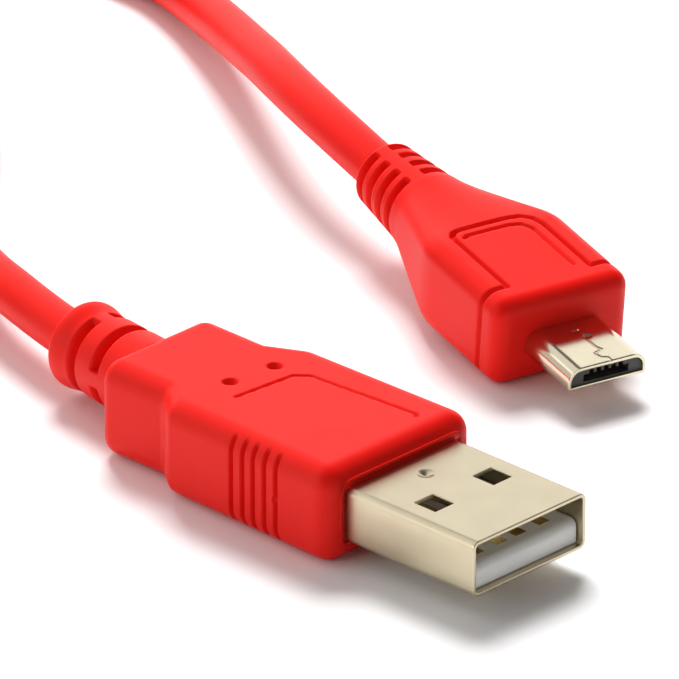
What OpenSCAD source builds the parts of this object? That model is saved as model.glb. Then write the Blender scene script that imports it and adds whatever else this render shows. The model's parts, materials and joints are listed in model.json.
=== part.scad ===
// Data and charging cable: USB-A plug at one end, micro-B plug at the other.
// Millimetres. +X is the way the USB-A plug goes in, +Z is up, and the origin is the middle of
// the flat underside of the USB-A grip, which lies on the table at Z = 0.

/* [USB-A plug] */
// Length of the moulded grip, front face to back face
a_body_l = 26; // [25:0.5:28]
// Width of the grip at its front
a_body_w = 15.8; // [15.4:0.1:16.6]
// Width of the grip behind its waist
a_tail_w = 11.8; // [10:0.1:13]
// Height of the grip
a_body_h = 7.8; // [7.6:0.1:8.4]
// How far the metal sleeve stands out of the grip
a_shell_out = 13; // [12:0.1:14]

/* [Micro-B plug] */
// Length of the grip from its front face to the end of the strain relief
m_total_l = 26.6; // [26.2:0.1:28]
// Width of the grip
m_body_w = 12; // [11.6:0.1:12.8]
// Height of the grip
m_body_h = 7.4; // [7.2:0.1:8]
// How far the metal sleeve stands out of the grip
m_shell_out = 6.4; // [6:0.1:6.8]
// Nose-down lean of the plug on the table, in degrees
m_pitch = 6; // [5.5:0.1:6.5]
// Heading of the plug, turned from the USB-A plug, in degrees
m_turn = -15; // [-15.5:0.1:-14.5]

/* [Cable] */
// Outside diameter of the jacket
cable_d = 3.8; // [3.6:0.1:4]
// Turns in each of the coil's two layers
coil_turns = 3.54; // [3.4:0.01:3.6]
// Largest radius of the coil's turns, at the middle of the cable
coil_r_out = 26.5; // [26:0.1:27]

/* [Hidden] */
$fn = 48;
e = 0.01;

WIRES = ["red", "white", "green", "black"];
STRANDS = [0, 3, 1, 2];        // quarter of the jacket each conductor leaves from, so none cross
strand_r = 0.95;
bare_d = 0.5;                  // conductor with its insulation off

// USB-A plug. Its own frame has X = 0 at the grip's front face and Z = 0 at mid height.
a_round = 1.5;                 // rounding of the grip's edges
a_waist = [16.2, 19.4];        // where the waist starts and ends, behind the front face
a_relief_r = [3.4, 3.25];      // radius of the strain relief at the grip and before its collar
a_collar_r = 3.5;
a_collar_l = 1.8;
a_slot_x = [3.3, 6.2];         // two rings of flex slots, behind the grip
a_slot_w = 0.9;
a_slot_depth = 1;
slot_sweep = 156;              // arc of each flex slot, in degrees
a_shell_w = 12;
a_shell_h = 4.5;
a_wall = 0.3;
a_shell_in = 6;                // how far the sleeve goes into the grip
a_hole = [2.1, 2];             // latch windows: along the plug, across it
a_hole_x = a_shell_out - 6.75;
a_hole_y = 3.1;
a_tongue_h = 1.95;
a_core = [10, 13.2, 6.2];      // folded back cover: length, width, height
a_crimp_l = 3.6;
a_pitch_y = [3.5, 1, -1, -3.5];
a_contact_w = 1.1;
a_contact_t = 0.2;
a_wire_d = 1.1;
a_jacket_x = -(a_shell_in + a_core[0]) + 0.6;   // where the jacket is stripped back to

// Micro-B plug. Its own frame has X = 0 at the grip's front face and Z = 0 at mid height.
m_round = 1.2;
m_collar_l = 2.4;
m_groove = 0.3;
m_body_l = 10.8;               // length of the full-width part, collar included
m_taper_l = 9;
m_relief_r = [3.35, 2.75];
m_slot_columns = [-76, 44, 164];   // middle of each column of flex slots, turned from the top
m_slot_sweep = 98;
m_shell_w = 6.85;
m_shell_h = 1.8;
m_wall = 0.25;
m_shell_in = 3.6;
m_core = [8, 8.6, 5.2];
m_crimp_l = 3.4;
m_pitch_y = [1.3, 0.65, 0, -0.65, -1.3];
m_wire_y = [2.4, 0.8, -0.8, -2.4];
m_contact_w = 0.3;
m_contact_z = 0.16;            // underside of the contact beams
m_contact_t = 0.15;
m_hinge_x = -2;                // where the contact beams bend
m_latch_x = -1.2;              // where the latch beams bend
m_latch_y = 2.75;
m_wire_d = 0.9;
m_jacket_x = -(m_shell_in + m_core[0]) + 0.5;

// The micro-B plug stands on the rounded lower edge of its front face.
m_drop = (m_body_h / 2 - m_round) * cos(m_pitch) + m_round - m_round * sin(m_pitch);
m_pos = [2.5, 28.5, m_drop];
m_tail_end = m_pos - m_total_l * [cos(m_pitch) * cos(m_turn), cos(m_pitch) * sin(m_turn), -sin(m_pitch)];

// Route of the cable, at the middle of the jacket
run_a = [[-22, 1.3, 3.9], [-25.4, 2, 3.9], [-28.8, 2.9, 3.9], [-32.2, 3.9, 3.9],
         [-35.6, 5.1, 3.7], [-39, 6.7, 3.4], [-42.6, 9, 3], [-46.4, 12.2, 2.5],
         [-50.5, 16.3, 2.1], [-54.8, 21, 1.9], [-59, 26, 1.9]];
run_m = [m_tail_end, [-27, 36.5, 6.7], [-31.4, 38, 6.9], [-36, 39.9, 6.8],
         [-40.7, 42.2, 6.4], [-45.4, 44.8, 5.7], [-50, 47.4, 4.8], [-54.6, 50, 3.9],
         [-59.2, 52.4, 3.1], [-64, 54.6, 2.5], [-69.4, 56.2, 2.1], [-75, 56, 1.9],
         [-80.2, 53.4, 1.9], [-83.4, 48, 2.1], [-83, 42, 2.8], [-79.6, 37, 3.8],
         [-74.6, 33.8, 5], [-68.5, 32.3, 5.6]];
coil_c = [-78, 7.5];           // middle of the coil on the table
coil_layer = 3.7;              // rise from the lower layer to the upper one
coil_r_in = coil_r_out - coil_turns * cable_d;
tie_w = 5;
tie_t = 0.5;

a_tail_dir = run_a[0] - [-a_body_l / 2, 0, a_body_h / 2];
a_tail_yaw = atan2(a_tail_dir[1], -a_tail_dir[0]);
a_tail_l = norm(a_tail_dir);

// ---- frames and shared shapes ----

module at_a() translate([a_body_l / 2, 0, a_body_h / 2]) children();

module at_m() translate(m_pos) rotate([0, 0, m_turn]) rotate([0, m_pitch, 0]) children();

// Rectangle with round corners, centred, as two bars and four discs
module round_rect(w, h, r) {
  square([w - 2 * r, h], center = true);
  square([w, h - 2 * r], center = true);
  for (x = [-1, 1], y = [-1, 1]) translate([x * (w / 2 - r), y * (h / 2 - r)]) circle(r);
}

// Bar along X from x0 to x1 with the YZ outline of its children
module along_x(x0, x1) translate([x0, 0, 0]) rotate([90, 0, 90]) linear_extrude(x1 - x0) children();

module box_x(x0, x1, w, h) translate([x0, -w / 2, -h / 2]) cube([x1 - x0, w, h]);

// Round bar between two points. A ball a little wider than the bar closes the outside of a bend.
module rod(p, q, d, ball = false) {
  v = q - p;
  translate(p) rotate([0, acos(v[2] / norm(v)), atan2(v[1], v[0])]) cylinder(d = d, h = norm(v));
  if (ball) translate(q) sphere(d = d + 0.06);
}

// Ring groove cut into a round bar along -X: depth, width, and the arc it covers
module ring_cut(x, r, depth, width, from, sweep)
  translate([x, 0, 0]) rotate([0, -90, 0]) rotate([0, 0, from])
    rotate_extrude(angle = sweep) translate([r - depth, -width / 2]) square([depth + 1, width]);

// Smooth step from 0 to 1
function ease(t) = let (u = min(1, max(0, t))) u * u * (3 - 2 * u);

// ---- USB-A plug ----

function a_half_w(x) =
  a_body_w / 2 - (a_body_w - a_tail_w) / 2 * ease((-x - a_waist[0]) / (a_waist[1] - a_waist[0]));

module a_plan() {
  steps = 10;
  side = [for (i = [0:steps]) let (x = -a_waist[0] - i * (a_waist[1] - a_waist[0]) / steps)
            [x, a_half_w(x)]];
  left = concat([[0, a_body_w / 2]], side, [[-a_body_l, a_tail_w / 2]]);
  polygon(concat(left, [for (i = [len(left) - 1:-1:0]) [left[i][0], -left[i][1]]]));
}

module a_grip_blank() intersection() {
  translate([0, 0, -a_body_h / 2]) linear_extrude(a_body_h) a_plan();
  along_x(-a_body_l, 0) round_rect(a_body_w, a_body_h, a_round);
  rotate([90, 0, 0]) translate([-a_body_l / 2, 0, -a_body_w / 2])
    linear_extrude(a_body_w) round_rect(a_body_l, a_body_h, a_round);
}

// Frame of the strain relief, which leans the way the cable leaves it
module at_a_tail() translate([-a_body_l, 0, 0]) rotate([0, 0, -a_tail_yaw]) children();

module a_relief() difference() {
  rotate([0, -90, 0]) rotate_extrude()
    polygon([[0, -1], [a_relief_r[0], -1], [a_relief_r[0], 0],
             [a_relief_r[1], a_tail_l - a_collar_l], [a_collar_r, a_tail_l - a_collar_l + 0.5],
             [a_collar_r, a_tail_l - 0.6], [a_collar_r - 0.6, a_tail_l], [0, a_tail_l]]);
  // the first ring's slots lie above and below, the second ring's on the two sides
  for (side = [0, 180]) {
    ring_cut(-a_slot_x[0], a_relief_r[0], a_slot_depth, a_slot_w, side - slot_sweep / 2, slot_sweep);
    ring_cut(-a_slot_x[1], a_relief_r[0], a_slot_depth, a_slot_w, side + 90 - slot_sweep / 2,
             slot_sweep);
  }
}

module a_jacket() {
  rod([a_jacket_x, 0, 0], [-a_body_l, 0, 0], cable_d, true);
  at_a_tail() rod([0, 0, 0], [-a_tail_l, 0, 0], cable_d);
}

module a_core_outer() {
  box_x(-a_shell_in - a_core[0], -a_shell_in, a_core[1], a_core[2]);
  rod([-a_shell_in - a_core[0] - a_crimp_l, 0, 0], [-a_shell_in - a_core[0] + e, 0, 0],
      cable_d + 0.8);
}

module a_overmould() color("red") at_a() difference() {
  union() {
    a_grip_blank();
    at_a_tail() a_relief();
  }
  along_x(-a_shell_in - e, 1) round_rect(a_shell_w, a_shell_h, 0.6);
  a_core_outer();
  a_jacket();
}

module a_shell() color("silver") at_a() difference() {
  along_x(-a_shell_in, a_shell_out) round_rect(a_shell_w, a_shell_h, 0.6);
  along_x(-a_shell_in - 1, a_shell_out + 1)
    round_rect(a_shell_w - 2 * a_wall, a_shell_h - 2 * a_wall, 0.3);
  for (y = [-1, 1]) translate([a_hole_x - a_hole[0] / 2, y * a_hole_y - a_hole[1] / 2, -5])
    cube([a_hole[0], a_hole[1], 10]);
}

module a_back_shell() color("silver") at_a() difference() {
  a_core_outer();
  box_x(-a_shell_in - a_core[0] + a_wall, 1, a_core[1] - 2 * a_wall, a_core[2] - 2 * a_wall);
  a_jacket();
}

module a_contact(y) {
  translate([-a_shell_in - 3, y - a_contact_w / 2, -a_contact_t])
    cube([a_shell_in + 3 + a_shell_out - 1.8, a_contact_w, a_contact_t]);
}

module a_contacts() color("gold") at_a() for (y = a_pitch_y) a_contact(y);

module a_insulator() color("white") at_a() difference() {
  union() {
    along_x(-a_shell_in, 1) round_rect(a_shell_w - 2 * a_wall, a_shell_h - 2 * a_wall, 0.3);
    translate([0, -a_shell_w / 2 + a_wall + 0.1, -a_shell_h / 2 + a_wall])
      cube([a_shell_out - 0.5, a_shell_w - 2 * a_wall - 0.2, a_tongue_h]);
  }
  for (y = a_pitch_y) a_contact(y);
}

// Solder joint: a short bead that ties a conductor to the top of a contact's tail
module a_bead(y) translate([-a_shell_in - 2.6, y, 0.5]) rotate([0, 90, 0]) cylinder(d = 1.3, h = 2);

module a_solder() color("lightgray") at_a() difference() {
  for (y = a_pitch_y) a_bead(y);
  for (y = a_pitch_y) a_contact(y);
  for (i = [0:3]) a_wire_path(i);
}

// Where each conductor leaves the jacket, set square around its middle
function strand_at(i) = [0, strand_r * cos(45 + 90 * STRANDS[i]), strand_r * sin(45 + 90 * STRANDS[i])];

module a_wire_path(i) {
  p = [-a_shell_in - 1.4, a_pitch_y[i], 0.5];
  q = [-a_shell_in - 4.4, a_pitch_y[i] * 0.95, 0.5];
  rod(p, q, bare_d, true);
  rod(q, [a_jacket_x, 0, 0] + strand_at(i), a_wire_d);
}

module a_wire(i) color(WIRES[i]) at_a() difference() {
  a_wire_path(i);
  rod([a_jacket_x, 0, 0], [a_jacket_x - 2, 0, 0], cable_d);
}

module a_inner_mould() color("ivory") at_a() difference() {
  box_x(-a_shell_in - a_core[0] + a_wall, -a_shell_in, a_core[1] - 2 * a_wall,
        a_core[2] - 2 * a_wall);
  for (y = a_pitch_y) {
    a_contact(y);
    a_bead(y);
  }
  for (i = [0:3]) a_wire_path(i);
  a_jacket();
}

module a_cable_end() color("red") at_a() a_jacket();

// ---- Micro-B plug ----

// Mouth outline: a flat bar whose two upper corners are cut off
module d_outline(inset) {
  w = m_shell_w / 2 - inset;
  h = m_shell_h / 2 - inset;
  c = 0.75 - inset * 0.4;
  polygon([[-w, -h], [w, -h], [w, h - c], [w - c, h], [-w + c, h], [-w, h - c]]);
}

module m_relief() difference() {
  translate([-m_total_l, 0, 0]) rotate([0, 90, 0])
    cylinder(r1 = m_relief_r[1], r2 = m_relief_r[0], h = m_total_l - m_body_l - m_taper_l + 0.5);
  // three columns of slots round the relief, with a rib between each two
  for (k = [0:3], column = m_slot_columns)
    ring_cut(-m_body_l - m_taper_l - 1 - 1.6 * k, m_relief_r[0] - 0.15 * (k + 1), 0.8, 0.8,
             column - m_slot_sweep / 2, m_slot_sweep);
}

module m_grip_blank() {
  intersection() {
    along_x(-m_body_l, 0) round_rect(m_body_w, m_body_h, m_round);
    rotate([90, 0, 0]) translate([-m_body_l / 2 - 2, 0, -m_body_w / 2])
      linear_extrude(m_body_w) round_rect(m_body_l + 4, m_body_h, m_round);
    translate([-m_body_l / 2 - 2, 0, -m_body_h / 2])
      linear_extrude(m_body_h) round_rect(m_body_l + 4, m_body_w, m_round);
  }
  hull() {
    along_x(-m_body_l, -m_body_l + 0.1) round_rect(m_body_w, m_body_h, m_round);
    along_x(-m_body_l - m_taper_l, -m_body_l - m_taper_l + 0.1) circle(m_relief_r[0], $fn = 32);
  }
}

module m_jacket() rod([m_jacket_x, 0, 0], [-m_total_l, 0, 0], cable_d);

module m_core_outer() {
  box_x(-m_shell_in - m_core[0], -m_shell_in, m_core[1], m_core[2]);
  rod([-m_shell_in - m_core[0] - m_crimp_l, 0, 0], [-m_shell_in - m_core[0] + e, 0, 0],
      cable_d + 0.7);
}

module m_overmould() color("red") at_m() difference() {
  union() {
    m_grip_blank();
    m_relief();
  }
  difference() {
    box_x(-m_collar_l - 0.4, -m_collar_l, m_body_w + 1, m_body_h + 1);
    box_x(-m_collar_l - 0.5, -m_collar_l + 0.1, m_body_w - 2 * m_groove, m_body_h - 2 * m_groove);
  }
  along_x(-m_shell_in - e, 1) d_outline(0);
  m_core_outer();
  m_jacket();
}

// Window that each latch hook comes out of, round the lower edge of the sleeve
module m_window(side)
  translate([m_shell_out - 3.5, side * (m_latch_y + 0.2) - 0.55, -m_shell_h / 2 - 0.5])
    cube([1.2, 1.1, 1]);

module m_shell() color("silver") at_m() difference() {
  along_x(-m_shell_in, m_shell_out) d_outline(0);
  along_x(-m_shell_in - 1, m_shell_out + 1) d_outline(m_wall);
  for (side = [-1, 1]) m_window(side);
}

module m_back_shell() color("silver") at_m() difference() {
  m_core_outer();
  box_x(-m_shell_in - m_core[0] + m_wall, 1, m_core[1] - 2 * m_wall, m_core[2] - 2 * m_wall);
  m_jacket();
}

// Contact tail: the fixed part of a contact, from where its beam bends to the solder joint
module m_tail(y) translate([-m_shell_in - 2.2, y - m_contact_w / 2, m_contact_z])
  cube([m_shell_in + 2.2 + m_hinge_x - 0.05, m_contact_w, m_contact_t]);

module m_contact_tails() color("gold") at_m() for (y = m_pitch_y) m_tail(y);

// Contact beam: bends up at its root when the socket's tongue slides in under its tip
module m_beam(y) translate([0, y - m_contact_w / 2, 0]) {
  translate([m_hinge_x, 0, m_contact_z]) cube([m_shell_out - 1 - m_hinge_x, m_contact_w, m_contact_t]);
  translate([m_shell_out - 2, 0, m_contact_z - 0.25]) cube([0.7, m_contact_w, 0.3]);
}

module m_contact_springs() color("gold") at_m() for (y = m_pitch_y) m_beam(y);

// Latch: a sprung steel beam with a hook that stands out of the wide side of the sleeve
module m_latch(side) color("gainsboro") at_m() translate([0, side * m_latch_y - 0.25, 0]) {
  translate([m_latch_x - 0.1, 0, -0.6]) cube([m_shell_out - 2.5 - m_latch_x, 0.5, 0.25]);
  translate([0, 0.5, 0]) rotate([90, 0, 0]) linear_extrude(0.5)
    polygon([[m_shell_out - 3.3, -0.5], [m_shell_out - 3.3, -1.15], [m_shell_out - 3.05, -1.15],
             [m_shell_out - 2.6, -0.5]]);
}

module m_insulator() color("dimgray") at_m() difference() {
  along_x(-m_shell_in, m_shell_out - 0.2) d_outline(m_wall);
  // slot that takes the tongue of the socket
  translate([0.8, -2, -0.5]) cube([m_shell_out, 4, m_contact_z + 0.5]);
  for (y = m_pitch_y) {
    translate([m_hinge_x - 0.05, y - 0.21, m_contact_z - 0.05]) cube([m_shell_out + 3, 0.42, 0.47]);
    m_tail(y);
  }
  for (side = [-1, 1])
    translate([m_latch_x - 0.2, side * (m_latch_y + 0.2) - 0.6, -1])
      cube([m_shell_out - 2 - m_latch_x, 1.2, 1.15]);
}

module m_bead(y) translate([-m_shell_in - 2.1, y, m_contact_z + 0.35]) rotate([0, 90, 0])
  cylinder(d = 0.6, h = 1.4);

// The fourth contact is the sense pin, which no conductor is soldered to
M_SOLDERED = [0, 1, 2, 4];

module m_wire_path(i) {
  y = m_pitch_y[M_SOLDERED[i]];
  p = [-m_shell_in - 1.7, y, m_contact_z + 0.4];
  q = [-m_shell_in - 3.4, m_wire_y[i], 0.4];
  rod(p, q, bare_d, true);
  rod(q, [m_jacket_x, 0, 0] + strand_at(i), m_wire_d);
}

module m_wire(i) color(WIRES[i]) at_m() difference() {
  m_wire_path(i);
  rod([m_jacket_x, 0, 0], [m_jacket_x - 2, 0, 0], cable_d);
}

module m_solder() color("lightgray") at_m() difference() {
  for (k = M_SOLDERED) m_bead(m_pitch_y[k]);
  for (y = m_pitch_y) m_tail(y);
  for (i = [0:3]) m_wire_path(i);
}

module m_inner_mould() color("ivory") at_m() difference() {
  box_x(-m_shell_in - m_core[0] + m_wall, -m_shell_in, m_core[1] - 2 * m_wall,
        m_core[2] - 2 * m_wall);
  for (y = m_pitch_y) m_tail(y);
  for (k = M_SOLDERED) m_bead(m_pitch_y[k]);
  for (i = [0:3]) m_wire_path(i);
  m_jacket();
}

module m_cable_end() color("red") at_m() m_jacket();

// ---- cable ----

function unit(v) = v / norm(v);
function along(path, i) = unit(path[min(i + 1, len(path) - 1)] - path[max(i - 1, 0)]);

// Ring of points round the path at its point i, square to the way the path runs there
function ring_at(path, i, r, sides) =
  let (t = along(path, i), s = unit(cross([0, 0, 1], t)), u = cross(t, s))
  [for (k = [0:sides - 1]) path[i] + r * (cos(360 * k / sides) * s + sin(360 * k / sides) * u)];

// Tube swept along a path: one polyhedron with flat ends
module tube(path, d, sides = 8) {
  n = len(path);
  points = [for (i = [0:n - 1]) each ring_at(path, i, d / 2, sides)];
  walls = [for (i = [0:n - 2], k = [0:sides - 1])
             let (a = i * sides + k, b = i * sides + (k + 1) % sides)
             each [[b + sides, b, a], [a + sides, b + sides, a]]];
  caps = [[for (k = [0:sides - 1]) k], [for (k = [sides - 1:-1:0]) (n - 1) * sides + k]];
  polyhedron(points, concat(walls, caps));
}

module cable_run_a() color("red") tube(run_a, cable_d);

module cable_run_m() color("red") tube(run_m, cable_d);

module coil_section() translate([coil_r_in - cable_d / 2, 0])
  square([coil_r_out - coil_r_in + cable_d, coil_layer + cable_d]);

module cable_coil() color("red") translate(coil_c) rotate_extrude() coil_section();

// Soft strap round the bundle, on the far side of the coil from where the cable comes in
module cable_tie() color("black") translate(coil_c) rotate([0, 0, 225])
  translate([coil_r_in - cable_d / 2 - tie_t, tie_w / 2, 0]) rotate([90, 0, 0])
    linear_extrude(tie_w) difference() {
      square([coil_r_out - coil_r_in + cable_d + 2 * tie_t, coil_layer + cable_d + tie_t]);
      translate([tie_t, tie_t])
        square([coil_r_out - coil_r_in + cable_d, coil_layer + cable_d - tie_t]);
    }

a_overmould();
a_shell();
a_back_shell();
a_inner_mould();
a_insulator();
a_contacts();
a_solder();
a_wire(0);  // a_wire_red
a_wire(1);  // a_wire_white
a_wire(2);  // a_wire_green
a_wire(3);  // a_wire_black
a_cable_end();
m_overmould();
m_shell();
m_back_shell();
m_inner_mould();
m_insulator();
m_contact_springs();
m_contact_tails();
m_latch(1);  // m_latch_left
m_latch(-1);  // m_latch_right
m_solder();
m_wire(0);  // m_wire_red
m_wire(1);  // m_wire_white
m_wire(2);  // m_wire_green
m_wire(3);  // m_wire_black
m_cable_end();
cable_run_a();
cable_coil();
cable_run_m();
cable_tie();
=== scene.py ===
import json
import math

import bmesh
import bpy
import numpy as np
from mathutils import Matrix, Vector


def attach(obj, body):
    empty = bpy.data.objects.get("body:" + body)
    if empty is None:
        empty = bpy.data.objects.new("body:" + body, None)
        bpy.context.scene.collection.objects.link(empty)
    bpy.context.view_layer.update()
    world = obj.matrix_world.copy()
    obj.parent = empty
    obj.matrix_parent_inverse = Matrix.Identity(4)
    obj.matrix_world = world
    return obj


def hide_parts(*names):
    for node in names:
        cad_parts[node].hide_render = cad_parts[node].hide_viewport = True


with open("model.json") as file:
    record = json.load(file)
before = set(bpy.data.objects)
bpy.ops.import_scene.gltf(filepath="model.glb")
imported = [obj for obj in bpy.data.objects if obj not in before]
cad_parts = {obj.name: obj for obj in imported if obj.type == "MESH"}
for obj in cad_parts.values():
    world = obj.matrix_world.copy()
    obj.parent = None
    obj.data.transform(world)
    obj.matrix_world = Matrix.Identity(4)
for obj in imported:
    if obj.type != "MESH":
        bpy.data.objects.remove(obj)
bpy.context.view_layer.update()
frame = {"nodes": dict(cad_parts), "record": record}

MM = 0.001
mounts = {m["name"]: m for m in frame["record"]["mounts"]}


# The camera: a long lens that looks down on the two plugs from their front left, with the
# USB-A mouth as the point that it is placed from.
CAMERA_TURN = math.radians(44.2)
CAMERA_RISE = math.radians(25.7)
CAMERA_AWAY = 1.0
CAMERA_SLIDE = (-13.99 * MM, 15.14 * MM)
SENSOR = 36
LENS = 721

a_mouth = Vector(mounts["a_plug"]["pos_m"])
back = Vector((math.sin(CAMERA_TURN) * math.cos(CAMERA_RISE),
               -math.cos(CAMERA_TURN) * math.cos(CAMERA_RISE),
               math.sin(CAMERA_RISE)))
right = Vector((math.cos(CAMERA_TURN), math.sin(CAMERA_TURN), 0))
above = back.cross(right)
camera = bpy.data.objects.new("camera", bpy.data.cameras.new("camera"))
camera.data.sensor_width = SENSOR
camera.data.lens = LENS
camera.data.clip_start = 0.01
camera.data.clip_end = 20
axes = Matrix((right, above, back)).transposed()
place = a_mouth + back * CAMERA_AWAY + right * CAMERA_SLIDE[0] + above * CAMERA_SLIDE[1]
camera.matrix_world = Matrix.Translation(place) @ axes.to_4x4()
bpy.context.scene.collection.objects.link(camera)
bpy.context.scene.camera = camera


# The cable: one round vinyl jacket, 1.0 m long, from the USB-A strain relief to the micro-B one.
# It comes down to the table from each plug, and what is spare is wound in a coil of two layers.
CABLE_D = 3.8
COIL_MIDDLE = (-78, 7.5)
COIL_OUT = 26.5
COIL_LOW = 1.9
COIL_HIGH = 5.6
COIL_START = 44.2
COIL_SWEEP = 2545
COIL_CLIMB = 90
POINTS_A_TURN = 24
RUN_A = [(-22, 1.3, 3.9), (-25.4, 2, 3.9), (-28.8, 2.9, 3.9), (-32.2, 3.9, 3.9),
         (-35.6, 5.1, 3.7), (-39, 6.7, 3.4), (-42.6, 9, 3), (-46.4, 12.2, 2.5),
         (-50.5, 16.3, 2.1), (-54.8, 21, 1.9)]
RUN_M = [(-27, 36.5, 6.7), (-31.4, 38, 6.9), (-36, 39.9, 6.8), (-40.7, 42.2, 6.4),
         (-45.4, 44.8, 5.7), (-50, 47.4, 4.8), (-54.6, 50, 3.9), (-59.2, 52.4, 3.1),
         (-64, 54.6, 2.5), (-69.4, 56.2, 2.1), (-75, 56, 1.9), (-80.2, 53.4, 1.9),
         (-83.4, 48, 2.1), (-83, 42, 2.8), (-79.6, 37, 3.8), (-74.6, 33.8, 5)]
MICRO_LENGTH = 26.6
MICRO_SLEEVE = 6.4


def ease(t):
    t = np.clip(t, 0, 1)
    return t * t * (3 - 2 * t)


# The micro-B plug's own frame has x = 0 at the front face of its grip, like the USB-A plug's.
m_forward = Vector(mounts["m_plug"]["axis"]).normalized()
m_side = Vector((0, 0, 1)).cross(m_forward).normalized()
m_frame = Matrix((m_forward, m_side, m_forward.cross(m_side))).transposed().to_4x4()
m_frame.translation = Vector(mounts["m_plug"]["pos_m"]) - m_forward * MICRO_SLEEVE * MM
m_exit = m_frame @ Vector((-MICRO_LENGTH * MM, 0, 0))

half = COIL_SWEEP / 2
coil = []
steps = round(COIL_SWEEP / 360 * POINTS_A_TURN)
for step in range(steps + 1):
    swept = COIL_SWEEP * step / steps
    turns_in = min(swept, COIL_SWEEP - swept) / 360
    radius = COIL_OUT - CABLE_D * turns_in
    climb = float(ease((swept - half + COIL_CLIMB) / (2 * COIL_CLIMB)))
    angle = math.radians(COIL_START + swept)
    coil.append((COIL_MIDDLE[0] + radius * math.cos(angle),
                 COIL_MIDDLE[1] + radius * math.sin(angle),
                 COIL_LOW + (COIL_HIGH - COIL_LOW) * climb))


def smooth_line(points, between):
    """A curve through points (Catmull-Rom), with so many steps from each to the next."""
    points = np.array(points, float)
    ends = np.concatenate([[2 * points[0] - points[1]], points, [2 * points[-1] - points[-2]]])
    before, here, there, after = ends[:-3], ends[1:-2], ends[2:-1], ends[3:]
    t = (np.arange(between) / between)[None, :, None]
    before, here, there, after = (part[:, None] for part in (before, here, there, after))
    spans = 0.5 * (2 * here + (there - before) * t
                   + (2 * before - 5 * here + 4 * there - after) * t ** 2
                   + (3 * here - before - 3 * there + after) * t ** 3)
    return np.concatenate([spans.reshape(-1, 3), points[-1:]])


def loft(name, rings, frame_matrix, close_front=False):
    """A skin through rings of the same number of points, in millimetres, closed at its back."""
    rings = np.array(rings)
    count, around = rings.shape[:2]
    first = np.arange(count - 1)[:, None] * around
    here = first + np.arange(around)
    there = first + (np.arange(around) + 1) % around
    quads = np.stack([here, there, there + around, here + around], -1).reshape(-1, 4).tolist()
    if close_front:
        quads.append(list(range(around))[::-1])
    quads.append(list(range((count - 1) * around, count * around)))
    mesh = bpy.data.meshes.new(name)
    mesh.from_pydata((rings.reshape(-1, 3) * MM).tolist(), [], quads)
    mesh.transform(frame_matrix)
    made = bmesh.new()
    made.from_mesh(mesh)
    bmesh.ops.recalc_face_normals(made, faces=made.faces)
    made.to_mesh(mesh)
    made.free()
    mesh.shade_smooth()
    piece = bpy.data.objects.new(name, mesh)
    bpy.context.scene.collection.objects.link(piece)
    return piece


CABLE_SIDES = 28
STEPS_BETWEEN = 5
route = smooth_line(RUN_A + coil + RUN_M[::-1] + [tuple(m_exit / MM)], STEPS_BETWEEN)
route[:, 2] = np.maximum(route[:, 2], CABLE_D / 2)
ahead = np.gradient(route, axis=0)
ahead /= np.linalg.norm(ahead, axis=1)[:, None]
left = np.cross((0, 0, 1), ahead)
left /= np.linalg.norm(left, axis=1)[:, None]
over = np.cross(ahead, left)
turned = np.linspace(0, 2 * math.pi, CABLE_SIDES, endpoint=False)[None, :, None]
cable = loft("cable", route[:, None] + CABLE_D / 2 * (np.cos(turned) * left[:, None]
                                                     + np.sin(turned) * over[:, None]),
             Matrix.Identity(4), close_front=True)
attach(cable, "cable_assembly")
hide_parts("cable_run_a", "cable_coil", "cable_run_m")


# The red vinyl of both grips and of the jacket: injected round the finished plug, with the
# slight unevenness of a cheap mould, a satin skin and fine pores.
class Socket:
    """A node's output, with the sums that are written with it."""

    def __init__(self, tree, output):
        self.tree = tree
        self.output = output

    def node(self, kind, settings=None, values=None, out=0):
        made = self.tree.nodes.new(kind)
        for name, value in (settings or {}).items():
            setattr(made, name, value)
        for name, value in (values or {}).items():
            if isinstance(value, Socket):
                self.tree.links.new(value.output, made.inputs[name])
            else:
                made.inputs[name].default_value = value
        return Socket(self.tree, made.outputs[out])

    def math(self, operation, *others):
        return self.node("ShaderNodeMath", {"operation": operation},
                         dict(enumerate((self,) + others)))

    def __add__(self, other):
        return self.math("ADD", other)

    def __radd__(self, other):
        return self + other

    def __mul__(self, other):
        return self.math("MULTIPLY", other)

    def __rmul__(self, other):
        return self * other

    def mix(self, first, second):
        """A colour between two, with this value as the share of the second."""
        return self.node("ShaderNodeMix", {"data_type": "RGBA"},
                         {0: self, 6: first, 7: second}, out=2)


def material(name, **constants):
    """A new material, its first socket and its shader, with the shader's constants set."""
    made = bpy.data.materials.new(name)
    made.use_nodes = True
    tree = made.node_tree
    shader = tree.nodes["Principled BSDF"]
    for socket, value in constants.items():
        shader.inputs[socket.replace("_", " ")].default_value = value
    where = Socket(tree, tree.nodes.new("ShaderNodeTexCoord").outputs["Object"])
    return made, where, shader


def feed(shader, socket, value):
    value.tree.links.new(value.output, shader.inputs[socket])


def noise(where, scale, detail=2, roughness=0.5):
    return where.node("ShaderNodeTexNoise", {}, {"Vector": where, "Scale": scale,
                                                "Detail": detail, "Roughness": roughness})


def relief(shader, height, strength, distance):
    bump = height.node("ShaderNodeBump", {}, {"Height": height, "Strength": strength,
                                             "Distance": distance})
    feed(shader, "Normal", bump)


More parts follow.
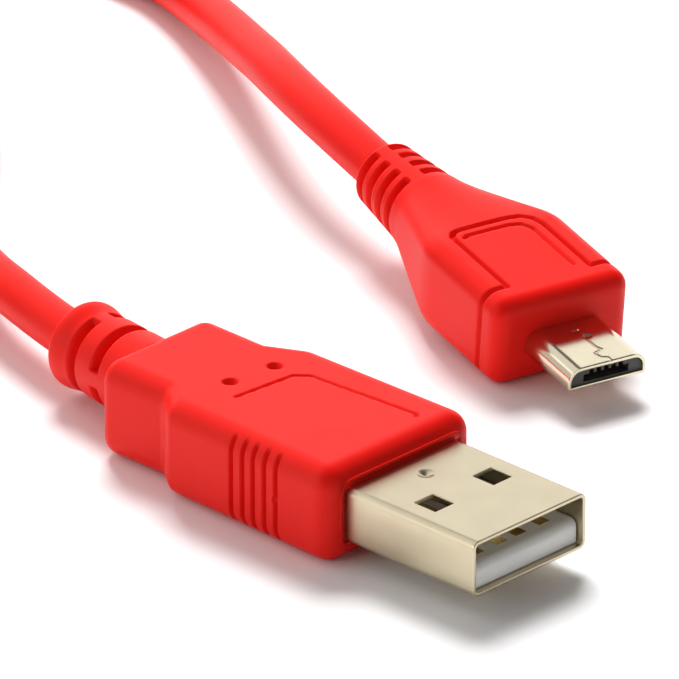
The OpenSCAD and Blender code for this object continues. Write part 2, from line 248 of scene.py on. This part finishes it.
def red_vinyl():
    made, where, shader = material("red_vinyl", IOR=1.5, Specular_IOR_Level=0.2,
                                   Specular_Tint=(1, 0.85, 0.7, 1),
                                   Subsurface_Weight=0.1, Subsurface_Scale=0.0006)
    shader.inputs["Subsurface Radius"].default_value = (1.0, 0.2, 0.1)
    blotch = noise(where, 220, 3)
    pore = noise(where, 9000, 2)
    grain = noise(where, 2600, 4, 0.6)
    feed(shader, "Base Color", (blotch * 0.8 + grain * 0.2).mix((0.75, 0.005, 0.003, 1),
                                                               (0.85, 0.011, 0.007, 1)))
    feed(shader, "Roughness", blotch * 0.10 + pore * 0.08 + 0.38)
    relief(shader, grain * 0.7 + pore * 0.3, 0.12, 0.00006)
    return made


vinyl = red_vinyl()
cable.data.materials.append(vinyl)


# The USB-A grip: vinyl moulded in one shot over the back of the plug and the end of the jacket,
# with a narrow tail, finger grooves, an engraved panel line and a slotted strain relief.
A_LENGTH = 26.0
A_WIDTH = 15.8
A_WIDTH_AT_WAIST = 15.1
A_TAIL_WIDTH = 11.8
A_HEIGHT = 7.8
A_WAIST = (16.2, 19.4)
A_NEAR_WAIST = (17.1, 19.3)
A_EDGE = 1.7
A_EDGE_BEHIND = 1.1
A_FILLET = 0.25
A_SLEEVE = (12, 4.5, 0.6)
A_EXIT = (-RUN_A[0][0] - A_LENGTH / 2, RUN_A[0][1])
A_RELIEF_LENGTH = math.hypot(*A_EXIT)
A_RELIEF_TURN = math.atan2(A_EXIT[1], A_EXIT[0])
A_RELIEF_ROUND = 0.6
A_RELIEF_R = (3.4, 3.25, 3.5)
A_COLLAR = 1.8
A_SLOTS = (3.3, 6.2)
A_SLOT_MIDDLES = ((0, 180), (90, 270))
A_SLOT_REACH = 78
A_SLOT_WIDTH = 0.9
A_SLOT_DEPTH = 0.85
RING_STEP = 0.12


def outline(w, h, r, counts=(120, 12, 44)):
    """Points round a centred rectangle with round corners, from the middle of its right side."""
    flat, bend, upright = counts
    parts = []
    corners = ((1, 1, 0), (-1, 1, 90), (-1, -1, 180), (1, -1, 270))
    for number, (sy, sz, start) in enumerate(corners):
        turn = np.radians(start + np.linspace(0, 90, bend, endpoint=False))
        middle = np.array([sy * (w / 2 - r), sz * (h / 2 - r)])
        arc = middle + r * np.c_[np.cos(turn), np.sin(turn)]
        count = flat if number % 2 == 0 else upright
        first = middle + r * np.array([math.cos(math.radians(start + 90)),
                                       math.sin(math.radians(start + 90))])
        nsy, nsz, nstart = corners[(number + 1) % 4]
        second = (np.array([nsy * (w / 2 - r), nsz * (h / 2 - r)])
                  + r * np.array([math.cos(math.radians(nstart)), math.sin(math.radians(nstart))]))
        share = np.linspace(0, 1, count, endpoint=False)[:, None]
        parts += [arc, first * (1 - share) + second * share]
    return np.concatenate(parts)


def circle_like(points, r):
    """The same number of points on a circle, each at its share of the way round the outline."""
    steps = np.linalg.norm(np.roll(points, -1, 0) - points, axis=1)
    share = np.concatenate([[0], np.cumsum(steps)[:-1]]) / steps.sum()
    start = math.atan2(points[0][1], points[0][0])
    turn = start + 2 * math.pi * share
    return r * np.c_[np.cos(turn), np.sin(turn)]


def groove(distance, width, depth):
    """Depth of a rounded groove at a distance from its middle line."""
    return depth * (1 - ease((np.abs(distance) - width * 0.25) / (width * 0.4)))


def to_segment(y, x, ends):
    """Distance of points from a straight line between two ends, given as (x, y)."""
    (x0, y0), (x1, y1) = ends
    run = np.array([x1 - x0, y1 - y0])
    along = np.clip(((x - x0) * run[0] + (y - y0) * run[1]) / (run @ run), 0, 1)
    return np.hypot(x - x0 - along * run[0], y - y0 - along * run[1])


def slots(distance, angle, stations, middles, reach, width, depth):
    """Depth of arc-shaped slots round a strain relief, at a distance behind its root."""
    cut = np.zeros_like(distance)
    for station, centres in zip(stations, middles):
        across = groove(distance - station, width, depth)
        for middle in centres:
            off = np.abs((angle - middle + 180) % 360 - 180)
            cut = np.maximum(cut, across * (1 - ease((off - reach + 4) / 6)))
    return cut


def a_half_width(x, waist=A_WAIST):
    """Half the width of the USB-A grip at a distance x behind its front, with soft corners."""
    spots = [0, waist[0], waist[1], A_LENGTH]
    widths = [A_WIDTH / 2, A_WIDTH_AT_WAIST / 2, A_TAIL_WIDTH / 2, A_TAIL_WIDTH / 2]
    window = np.linspace(-A_FILLET, A_FILLET, 9)
    return float(np.interp(np.clip(x + window, 0, A_LENGTH), spots, widths).mean())


A_GROOVES = (5.6, 6.8, 8.0, 9.1, 10.3)
A_GROOVE_CUT = (0.42, 0.42)
A_PANEL_CUT = (0.28, 0.24)
A_DIMPLE_R = 0.42
A_DIMPLE_RIM = 0.22
A_DIMPLE_DEPTH = 0.5
A_PIP_R = 0.4
A_PIP_HIGH = 0.3
A_PANEL = ((-14.4, -3.0), (-13.9, 2.6), (-12.9, 3.5), (-2.7, 4.3), (-2.4, 4.0))
A_DIMPLES = ((-16.5, -1.4), (-16.0, 2.8))
A_PIP = (-5.7, 0.0)
turn = np.linspace(0, math.pi / 2, 9)
along_body = np.concatenate([np.arange(A_EDGE, 5, RING_STEP), np.arange(5, 11, RING_STEP / 2),
                             np.arange(11, A_LENGTH - A_EDGE_BEHIND, RING_STEP)])
stations = ([(A_EDGE * (1 - math.cos(t)), A_EDGE * (1 - math.sin(t))) for t in turn[:-1]]
            + [(x, 0.0) for x in along_body]
            + [(A_LENGTH - A_EDGE_BEHIND * (1 - math.sin(t)), A_EDGE_BEHIND * (1 - math.cos(t)))
               for t in turn])
rings = []
sleeve_hole = outline(*A_SLEEVE)
first_w = 2 * a_half_width(0) - 2 * A_EDGE
front_face = outline(first_w, A_HEIGHT - 2 * A_EDGE, 0.05)
for wider, sunk in ((-0.1, 0.2), (0.2, 0.2), (0.27, 0.16), (0.34, 0.03), (0.4, 0), (0.7, 0.03)):
    flat = outline(A_SLEEVE[0] + 2 * wider, A_SLEEVE[1] + 2 * wider, A_SLEEVE[2] + wider)
    rings.append(np.c_[np.full(len(flat), -sunk), flat])
rings.append(np.c_[np.zeros(len(front_face)), front_face * 0.97 + sleeve_hole * 0.03])
for x, inset in stations:
    w = 2 * (a_half_width(x) - inset)
    h = A_HEIGHT - 2 * inset
    flat = outline(w, h, max(A_EDGE - inset, 0.05))
    ring = np.c_[np.full(len(flat), -x), flat]
    top = flat[:, 1] > h / 2 - 0.05
    side = np.abs(flat[:, 0]) > w / 2 - 0.05
    y = flat[:, 0]
    cut = np.zeros(len(flat))
    for spot in zip(A_PANEL, A_PANEL[1:]):
        cut = np.maximum(cut, groove(to_segment(y, -x, spot), *A_PANEL_CUT))
    for dx, dy in A_DIMPLES:
        rim = ease((np.hypot(-x - dx, y - dy) - A_DIMPLE_R) / A_DIMPLE_RIM)
        cut = np.maximum(cut, A_DIMPLE_DEPTH * (1 - rim))
    ring[top, 2] -= cut[top]
    ribs = sum(groove(x - spot, *A_GROOVE_CUT) for spot in A_GROOVES)
    keep = ease((A_HEIGHT / 2 - 0.25 - np.abs(flat[:, 1])) / 0.5) * (np.abs(y) > 5)
    ring[:, 1] -= np.sign(y) * ribs * keep
    ring[y < 0, 1] *= (a_half_width(x, A_NEAR_WAIST) - inset) / (w / 2)
    bead = A_PIP_HIGH * (1 - ease(np.hypot(x + A_PIP[0], flat[:, 1] - A_PIP[1]) / A_PIP_R))
    near = side & (flat[:, 0] < 0)
    ring[near, 1] -= bead[near]
    rings.append(ring)
back_face = rings[-1][:, 1:]
root = circle_like(back_face, A_RELIEF_R[0])
for share in (0.3, 0.6, 0.85):
    flat = back_face * (1 - share) + root * share
    rings.append(np.c_[np.full(len(flat), -A_LENGTH), flat])
lean = np.array([[math.cos(A_RELIEF_TURN), math.sin(A_RELIEF_TURN)],
                 [-math.sin(A_RELIEF_TURN), math.cos(A_RELIEF_TURN)]])
end = A_RELIEF_LENGTH - A_COLLAR
for s in np.append(np.arange(0, A_RELIEF_LENGTH - A_RELIEF_ROUND, RING_STEP),
                   A_RELIEF_LENGTH - A_RELIEF_ROUND * (1 - np.sin(turn))):
    swell = (A_RELIEF_R[2] - A_RELIEF_R[1]) * float(ease((s - end + 0.5) / 1.6))
    r = A_RELIEF_R[0] + (A_RELIEF_R[1] - A_RELIEF_R[0]) * min(s / end, 1) + swell
    past = max(0.0, (s - A_RELIEF_LENGTH + A_RELIEF_ROUND) / A_RELIEF_ROUND)
    r -= A_RELIEF_ROUND * (1 - math.sqrt(max(0.0, 1 - past * past)))
    unit = circle_like(back_face, 1)
    angle = np.degrees(np.arctan2(unit[:, 0], unit[:, 1])) % 360
    cut = slots(np.full(len(unit), s), angle, A_SLOTS, A_SLOT_MIDDLES,
                A_SLOT_REACH, A_SLOT_WIDTH, A_SLOT_DEPTH)
    flat = unit * (r - cut)[:, None]
    spot = np.c_[np.full(len(flat), -s), flat[:, 0]] @ lean.T
    rings.append(np.c_[spot[:, 0] - A_LENGTH, spot[:, 1], flat[:, 1]])
for r in (2.4, CABLE_D / 2 - 0.05):
    flat = circle_like(back_face, r)
    spot = np.c_[np.full(len(flat), -A_RELIEF_LENGTH), flat[:, 0]] @ lean.T
    rings.append(np.c_[spot[:, 0] - A_LENGTH, spot[:, 1], flat[:, 1]])
a_frame = Matrix.Translation(Vector((A_LENGTH / 2, 0, A_HEIGHT / 2)) * MM)
a_grip = loft("a_grip", rings, a_frame)
a_grip.data.materials.append(vinyl)
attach(a_grip, "cable_assembly")
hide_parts("a_overmould")


# The micro-B grip: the same vinyl, in a flatter block with a collar at its front, a raised panel
# that joins the collar, and a tail that tapers into a relief with three columns of slots.
M_WIDTH = 12.0
M_HEIGHT = 7.4
M_EDGE = 1.35
M_COLLAR = 2.4
M_BODY = 10.8
M_TAPER = 9.0
M_RELIEF_R = (3.35, 2.75)
M_SLOT_MIDDLES = ((-76, 44, 164),) * 4
M_SLOT_REACH = 49
M_SLOT_WIDTH = 0.7
M_SLOT_DEPTH = 0.75
M_SLOTS = tuple(M_BODY + M_TAPER + 1 + 1.6 * k for k in range(4))
M_PANEL = ((-2.55, -3.7), (-10.6, -3.7), (-11.2, -3.3), (-11.4, -2.7), (-11.4, 1.6),
           (-11.2, 2.7), (-10.5, 3.4), (-9.4, 3.7), (-2.55, 3.7))
M_INNER = ((-10.1, -2.9), (-10.35, -2.6), (-10.35, 1.2), (-10.1, 2.1), (-9.2, 2.6), (-3.2, 2.6))
M_PANEL_CUT = (0.45, 0.42)
M_INNER_CUT = (0.36, 0.28)
M_COLLAR_CUT = (0.45, 0.4)
m_hole = outline(6.5, 1.5, 0.7)


def m_ring(x, inset):
    window = np.linspace(-1, 1, 9)
    taper = float(np.clip((x + window - M_BODY) / M_TAPER, 0, 1).mean())
    w = 2 * (M_WIDTH / 2 - inset)
    h = M_HEIGHT - 2 * inset
    flat = outline(w, h, max(M_EDGE - inset, 0.05))
    late = max(0.0, (x - M_BODY - M_TAPER) / (MICRO_LENGTH - M_BODY - M_TAPER))
    r = M_RELIEF_R[0] + (M_RELIEF_R[1] - M_RELIEF_R[0]) * late
    unit = circle_like(flat, 1)
    angle = np.degrees(np.arctan2(unit[:, 0], unit[:, 1])) % 360
    cut = slots(np.full(len(unit), x), angle, M_SLOTS, M_SLOT_MIDDLES,
                M_SLOT_REACH, M_SLOT_WIDTH, M_SLOT_DEPTH)
    return flat * (1 - taper) + unit * (r - cut)[:, None] * taper


m_rings = []
m_front = outline(M_WIDTH - 2 * M_EDGE, M_HEIGHT - 2 * M_EDGE, 0.05)
for share in (0, 0.25, 0.5, 0.75):
    flat = m_hole * (1 - share) + m_front * share
    m_rings.append(np.c_[np.zeros(len(flat)), flat])
m_stations = ([(M_EDGE * (1 - math.cos(t)), M_EDGE * (1 - math.sin(t))) for t in turn[:-1]]
              + [(x, 0.0) for x in np.arange(M_EDGE, MICRO_LENGTH - 0.4, RING_STEP)])
for x, inset in m_stations:
    flat = m_ring(x, inset)
    y = flat[:, 0]
    z = flat[:, 1]
    top = z > M_HEIGHT / 2 - inset - 0.1
    cut = np.zeros(len(flat))
    for spot in zip(M_PANEL, M_PANEL[1:]):
        cut = np.maximum(cut, groove(to_segment(y, -x, spot), *M_PANEL_CUT))
    for spot in zip(M_INNER, M_INNER[1:]):
        cut = np.maximum(cut, groove(to_segment(y, -x, spot), *M_INNER_CUT))
    drop = np.where(top, cut, 0)
    collar = groove(x - M_COLLAR - 0.15, *M_COLLAR_CUT)
    ring_share = 1 - (z > M_HEIGHT / 2 - 1.4) * (np.abs(y) < 3.7)
    outward = np.c_[y, z] / np.maximum(np.hypot(y, z), 0.1)[:, None]
    flat = flat - outward * (collar * ring_share)[:, None]
    flat[:, 1] -= drop
    m_rings.append(np.c_[np.full(len(flat), -x), flat])
last = m_rings[-1][:, 1:]
for x, share in ((MICRO_LENGTH - 0.15, 0.93), (MICRO_LENGTH, 0.8), (MICRO_LENGTH, 0.67)):
    m_rings.append(np.c_[np.full(len(last), -x), last * share])
m_grip = loft("m_grip", m_rings, m_frame)
m_grip.data.materials.append(vinyl)
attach(m_grip, "cable_assembly")
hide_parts("m_overmould")


# The sleeves: steel strip, stamped, rolled into a tube and plated with bright nickel. The USB-A
# one has two windows in each wide face and a dimple that holds it in the grip.
A_WALL = 0.3
A_WINDOW = (5.2, 7.3, 2.1, 4.1)


def nickel(name, tint, rough):
    made, where, shader = material(name, Metallic=1.0, IOR=2.0)
    brushed = noise(where.node("ShaderNodeMapping", {}, {"Vector": where, "Scale": (1, 12, 12)}),
                    900, 3)
    cloud = noise(where, 350, 3)
    dark = tuple(c * 0.88 for c in tint[:3]) + (1,)
    feed(shader, "Base Color", cloud.mix(tint, dark))
    feed(shader, "Roughness", brushed * 0.07 + cloud * 0.05 + rough)
    relief(shader, brushed, 0.03, 0.00001)
    return made


def sheet_grid(name, outline_points, xs, frame_matrix, holes, wall, bend=None, lip=0.05):
    """A folded sheet sleeve: an outline carried along x, with cells left out for its windows."""
    outline_points = np.array(outline_points)
    around = len(outline_points)
    made = bmesh.new()
    rows = []
    for x in xs:
        row = []
        for y, z in outline_points:
            fall = bend(x, y, z) if bend else 0
            row.append(made.verts.new(Vector((x, y, z - fall)) * MM))
        rows.append(row)
    for i in range(len(xs) - 1):
        for k in range(around):
            n = (k + 1) % around
            middle = ((xs[i] + xs[i + 1]) / 2,
                      *((outline_points[k] + outline_points[n]) / 2))
            if not holes(*middle):
                made.faces.new((rows[i][k], rows[i + 1][k], rows[i + 1][n], rows[i][n]))
    loose = [v for v in made.verts if not v.link_faces]
    bmesh.ops.delete(made, geom=loose, context="VERTS")
    bmesh.ops.recalc_face_normals(made, faces=made.faces)
    mesh = bpy.data.meshes.new(name)
    made.to_mesh(mesh)
    made.free()
    mesh.transform(frame_matrix)
    mesh.shade_smooth()
    piece = bpy.data.objects.new(name, mesh)
    bpy.context.scene.collection.objects.link(piece)
    thick = piece.modifiers.new("wall", "SOLIDIFY")
    thick.thickness = wall * MM
    thick.offset = -1
    edge = piece.modifiers.new("edge", "BEVEL")
    edge.width = lip * MM
    edge.segments = 2
    edge.limit_method = "ANGLE"
    edge.angle_limit = math.radians(50)
    return piece


nickel_plate = nickel("satin_nickel", (0.66, 0.58, 0.41, 1), 0.24)
ys = sorted(set(np.round(np.concatenate([np.linspace(-5.4, 5.4, 73), [-4.1, -2.1, 2.1, 4.1]]), 3)))
corner = np.radians(np.linspace(0, 90, 7))
w, h, r = A_SLEEVE[0] / 2, A_SLEEVE[1] / 2, A_SLEEVE[2]
top_line = [(y, h) for y in ys]
a_outline = ([(w - r + r * math.sin(t), h - r + r * math.cos(t)) for t in corner[1:]]
             + [(w, z) for z in (0.8, 0, -0.8)]
             + [(w - r + r * math.cos(t), -h + r - r * math.sin(t)) for t in corner]
             + [(y, -h) for y in ys[::-1][1:-1]]
             + [(-w + r - r * math.sin(t), -h + r - r * math.cos(t)) for t in corner]
             + [(-w, z) for z in (-0.8, 0, 0.8)]
             + [(-w + r - r * math.cos(t), h - r + r * math.sin(t)) for t in corner]
             + top_line[1:])
a_xs = sorted(set(np.round(np.concatenate([np.linspace(-6, 13, 96), A_WINDOW[:2]]), 3)))


def a_windows(x, y, z):
    return (abs(z) > 2.2 and A_WINDOW[0] < x < A_WINDOW[1]
            and A_WINDOW[2] < abs(y) < A_WINDOW[3])


def a_dimple(x, y, z):
    return 0.28 * float(1 - ease(math.hypot(x - 2.4, y) / 0.75)) if z > 2.2 else 0


a_sleeve = sheet_grid("a_sleeve", a_outline, a_xs, a_frame, a_windows, A_WALL, a_dimple)
a_sleeve.data.materials.append(nickel_plate)
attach(a_sleeve, "cable_assembly")
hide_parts("a_shell")


# The micro-B sleeve: its seam runs along the wide top face and locks with a dovetail, and its
# two upper corners are rounded off so that it goes in one way only.
M_SLEEVE = (6.85, 1.8, 1.1)
M_WALL = 0.25
M_WINDOW = (2.9, 4.1, 2.4, 3.3)
M_SEAM_CUT = (0.1, 0.035)
M_DENT_DEPTH = 0.06
M_SEAM = ((6.4, 0.35), (5.8, 0.35), (5.6, -0.1), (4.9, -0.3), (4.6, 0.55), (4.0, 0.3), (0.2, 0.3))
m_ys = np.round(np.arange(-2.32, 2.33, 0.08), 3)
m_xs = np.round(np.append(np.arange(-3.6, 6.3, 0.1), 6.4), 3)
w, h, c = M_SLEEVE[0] / 2, M_SLEEVE[1] / 2, M_SLEEVE[2]
m_outline = ([(y, h) for y in m_ys]
             + [(w - c + c * math.sin(t), h - c + c * math.cos(t)) for t in corner[1:-1]]
             + [(w, h - c), (w, -0.45), (w, -h + 0.15), (w - 0.15, -h)]
             + [(y, -h) for y in m_ys[::-2]]
             + [(-w + 0.15, -h), (-w, -h + 0.15), (-w, -0.45), (-w, h - c)]
             + [(-w + c - c * math.cos(t), h - c + c * math.sin(t)) for t in corner[1:-1]])


def m_windows(x, y, z):
    return M_WINDOW[0] < x < M_WINDOW[1] and M_WINDOW[2] < abs(y) < M_WINDOW[3] and z < -0.85


def m_seam(x, y, z):
    if z < 0.85:
        return 0
    away = min(float(to_segment(np.array(y), np.array(x), s)) for s in zip(M_SEAM, M_SEAM[1:]))
    dents = [1 - ease(math.hypot((x - 1.5) / 0.35, (y - 0.1) / 0.7)),
             1 - ease(math.hypot((x - 2.5) / 0.35, (y - 0.5) / 0.5))]
    return float(groove(away, *M_SEAM_CUT) + M_DENT_DEPTH * sum(dents))


m_sleeve = sheet_grid("m_sleeve", m_outline, m_xs, m_frame, m_windows, M_WALL, m_seam, 0.03)
m_sleeve.data.materials.append(nickel("bright_nickel", (0.74, 0.67, 0.50, 1), 0.09))
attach(m_sleeve, "cable_assembly")
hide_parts("m_shell")


# The pieces inside: their CAD shapes are right, so each keeps its solid and gets its finish.
# Insulators are moulded, contacts are gold-flashed strip, and the conductors are tinned copper
# in coloured insulation.
def moulded(name, colour, rough):
    made, where, shader = material(name, IOR=1.5)
    cloud = noise(where, 400, 3)
    fine = noise(where, 6000, 2)
    dark = tuple(v * 0.9 for v in colour[:3]) + (1,)
    feed(shader, "Base Color", cloud.mix(colour, dark))
    feed(shader, "Roughness", cloud * 0.10 + fine * 0.06 + rough)
    relief(shader, fine, 0.06, 0.00003)
    return made


finishes = {
    "white_insulator": moulded("white_insulator", (0.86, 0.86, 0.84, 1), 0.34),
    "dark_insulator": moulded("dark_insulator", (0.045, 0.045, 0.04, 1), 0.42),
    "clear_polyethylene": moulded("milky_polyethylene", (0.82, 0.82, 0.76, 1), 0.30),
    "tinned_steel": nickel("tin_plate", (0.60, 0.60, 0.58, 1), 0.30),
    "gold_contact": nickel("gold_flash", (0.85, 0.60, 0.22, 1), 0.20),
    "solder": nickel("bright_solder", (0.68, 0.69, 0.70, 1), 0.22),
    "spring_steel": nickel("spring_steel", (0.66, 0.63, 0.58, 1), 0.24),
    "wire_red": moulded("red_insulation", (0.65, 0.02, 0.02, 1), 0.30),
    "wire_white": moulded("white_insulation", (0.84, 0.84, 0.82, 1), 0.30),
    "wire_green": moulded("green_insulation", (0.03, 0.38, 0.09, 1), 0.30),
    "wire_black": moulded("black_insulation", (0.02, 0.02, 0.02, 1), 0.30),
    "red_pvc": vinyl,
}
slot_of = {part["node"]: part["material_slot"] for part in frame["record"]["subparts"]}
for node, piece in frame["nodes"].items():
    if slot_of[node] in finishes:
        piece.data.materials.clear()
        piece.data.materials.append(finishes[slot_of[node]])
edge = frame["nodes"]["m_insulator"].modifiers.new("edge", "BEVEL")
edge.width = 0.05 * MM
edge.segments = 3
edge.limit_method = "ANGLE"
edge.angle_limit = math.radians(60)


# The tongue of the USB-A plug: white plastic moulded with a full round nose, so that the plug
# finds its way in. The four contacts lie along its top, a hair above it.
TONGUE_TIP = 12.5
TONGUE_NOSE = 0.8
TONGUE_LOW = -1.95
TONGUE_HALF = 5.6
PROUD = 0.03
nose_turn = np.linspace(0, math.pi / 2, 12)
profile = np.array([(-6, TONGUE_LOW), (TONGUE_TIP - 0.1, TONGUE_LOW), (TONGUE_TIP, TONGUE_LOW + 0.1)]
                   + [(TONGUE_TIP - TONGUE_NOSE * (1 - math.cos(t)),
                       TONGUE_NOSE * (math.sin(t) - 1) - PROUD) for t in nose_turn]
                   + [(1, -PROUD), (1, 1.95), (-6, 1.95)])
tongue_rings = []
for y, inset in ((-TONGUE_HALF, 0.12), (-TONGUE_HALF + 0.04, 0.05), (-TONGUE_HALF + 0.12, 0),
                 (TONGUE_HALF - 0.12, 0), (TONGUE_HALF - 0.04, 0.05), (TONGUE_HALF, 0.12)):
    x = np.minimum(profile[:, 0], TONGUE_TIP - inset)
    tongue_rings.append(np.c_[x, np.full(len(x), y), np.minimum(profile[:, 1], 1.95 - inset)])
tongue = loft("a_tongue", tongue_rings, a_frame, close_front=True)
tongue.data.materials.append(finishes["white_insulator"])
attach(tongue, "cable_assembly")
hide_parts("a_insulator")
for face in tongue.data.polygons:
    face.use_smooth = len(face.vertices) == 4


# The strap round the coil: hook-and-loop tape, woven nylon drawn tight round the bundle, with
# its free end lapped over and pressed down on top.
STRAP_WIDTH = 5.0
STRAP_THICK = 0.45
STRAP_LAP = 6.5
STRAP_START = 4.5
STRAP_EDGE = 0.08
strap_turn = math.radians(225)
turns_in = (math.degrees(strap_turn) - COIL_START) / 360
coil_out = COIL_OUT - CABLE_D * turns_in + CABLE_D / 2
coil_in = COIL_OUT - CABLE_D * (turns_in + 3) - CABLE_D / 2
tall = COIL_HIGH + CABLE_D / 2 + STRAP_THICK / 2
loop = outline(coil_out - coil_in + STRAP_THICK, tall, CABLE_D / 2 + STRAP_THICK / 2, (30, 8, 14))
loop += ((coil_in + coil_out) / 2, tall / 2 + STRAP_THICK / 2)
top_start = int(np.argmin(np.hypot(loop[:, 0] - coil_out + STRAP_START, loop[:, 1] - tall)))
loop = np.roll(loop, -top_start, 0)
lap = loop[np.hypot(*(loop - loop[0]).T) < STRAP_LAP]
lap = lap[lap[:, 0] <= loop[0][0]]
lift = STRAP_THICK * (0.2 + 0.9 * ease(np.linspace(0, 4, len(lap))))
strip = np.concatenate([loop, np.c_[lap[:, 0], lap[:, 1] + lift]])
widths = np.linspace(-STRAP_WIDTH / 2, STRAP_WIDTH / 2, 9)
tape = np.stack([np.c_[np.full(len(strip), shift), strip] for shift in widths])
count = len(strip)
first = (np.arange(len(widths) - 1)[:, None] * count + np.arange(count - 1)).ravel()
outward = Vector((math.cos(strap_turn), math.sin(strap_turn), 0))
along = Vector((-outward.y, outward.x, 0))
strap_frame = Matrix((along, outward, Vector((0, 0, 1)))).transposed().to_4x4()
strap_frame.translation = Vector((COIL_MIDDLE[0], COIL_MIDDLE[1], 0)) * MM
tape_mesh = bpy.data.meshes.new("cable_tie_strap")
tape_mesh.from_pydata((tape.reshape(-1, 3) * MM).tolist(), [],
                      np.stack([first, first + 1, first + count + 1, first + count], 1).tolist())
tape_mesh.transform(strap_frame)
tape_mesh.shade_smooth()
tie = bpy.data.objects.new("cable_tie_strap", tape_mesh)
bpy.context.scene.collection.objects.link(tie)
thick = tie.modifiers.new("tape", "SOLIDIFY")
thick.thickness = STRAP_THICK * MM
thick.offset = 0
edge = tie.modifiers.new("selvedge", "BEVEL")
edge.width = STRAP_EDGE * MM
edge.segments = 2
edge.limit_method = "ANGLE"


def woven():
    made, where, shader = material("black_tape", IOR=1.45, Sheen_Weight=0.4)
    warp = where.node("ShaderNodeTexWave", {"wave_type": "BANDS", "bands_direction": "DIAGONAL"},
                      {"Vector": where, "Scale": 900, "Distortion": 1.5}, out=1)
    fuzz = noise(where, 5000, 3)
    weave = warp * 0.6 + fuzz * 0.4
    feed(shader, "Base Color", weave.mix((0.012, 0.012, 0.013, 1), (0.05, 0.05, 0.052, 1)))
    feed(shader, "Roughness", fuzz * 0.2 + 0.7)
    relief(shader, weave, 0.5, 0.0001)
    return made


tie.data.materials.append(woven())
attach(tie, "cable_assembly")
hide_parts("cable_tie")


# The table and the light: a sheet of white card, a softbox high behind the plugs that casts the
# shadows, and five wide glowing cards (back, top, left, near side, front) for the metal to mirror.
table_mesh = bpy.data.meshes.new("table")
reach = 1.2
table_mesh.from_pydata([(-reach, -reach, 0), (reach, -reach, 0), (reach, reach, 0),
                        (-reach, reach, 0)], [], [(0, 1, 2, 3)])
table = bpy.data.objects.new("table", table_mesh)
bpy.context.scene.collection.objects.link(table)
card, where, shader = material("white_card", IOR=1.45)
feed(shader, "Base Color", noise(where, 30).mix((0.93, 0.925, 0.93, 1), (0.95, 0.945, 0.95, 1)))
shader.inputs["Roughness"].default_value = 0.6
table_mesh.materials.append(card)


LIGHT_AIM = Vector((0, 0.015, 0))


def softbox(name, spot, size, watts, mirrored=True):
    lamp = bpy.data.lights.new(name, "AREA")
    lamp.shape = "RECTANGLE"
    lamp.size, lamp.size_y = size
    lamp.energy = watts
    body = bpy.data.objects.new(name, lamp)
    body.location = spot
    body.visible_glossy = mirrored
    body.rotation_mode = "QUATERNION"
    body.rotation_quaternion = (LIGHT_AIM - Vector(spot)).to_track_quat("-Z", "Y")
    bpy.context.scene.collection.objects.link(body)


softbox("key_softbox", (-0.30, 0.29, 0.47), (0.26, 0.26), 5.4, mirrored=False)
softbox("front_card", (0.68, -0.10, 0.26), (0.6, 0.5), 0.5)
softbox("back_card", (-0.50, 0.46, 0.26), (0.9, 0.5), 1.75)
softbox("top_card", (-0.42, -0.10, 0.60), (0.8, 0.6), 1.3)
softbox("side_softbox", (-0.20, -0.62, 0.24), (0.45, 0.3), 0.95)
softbox("left_card", (-0.62, -0.42, 0.30), (0.9, 0.6), 1.0)
world = bpy.data.worlds.new("studio")
world.use_nodes = True
world.node_tree.nodes["Background"].inputs["Color"].default_value = (1, 0.95, 0.90, 1)
world.node_tree.nodes["Background"].inputs["Strength"].default_value = 0.13
bpy.context.scene.world = world
bpy.context.scene.view_settings.view_transform = "Standard"

bpy.context.view_layer.update()
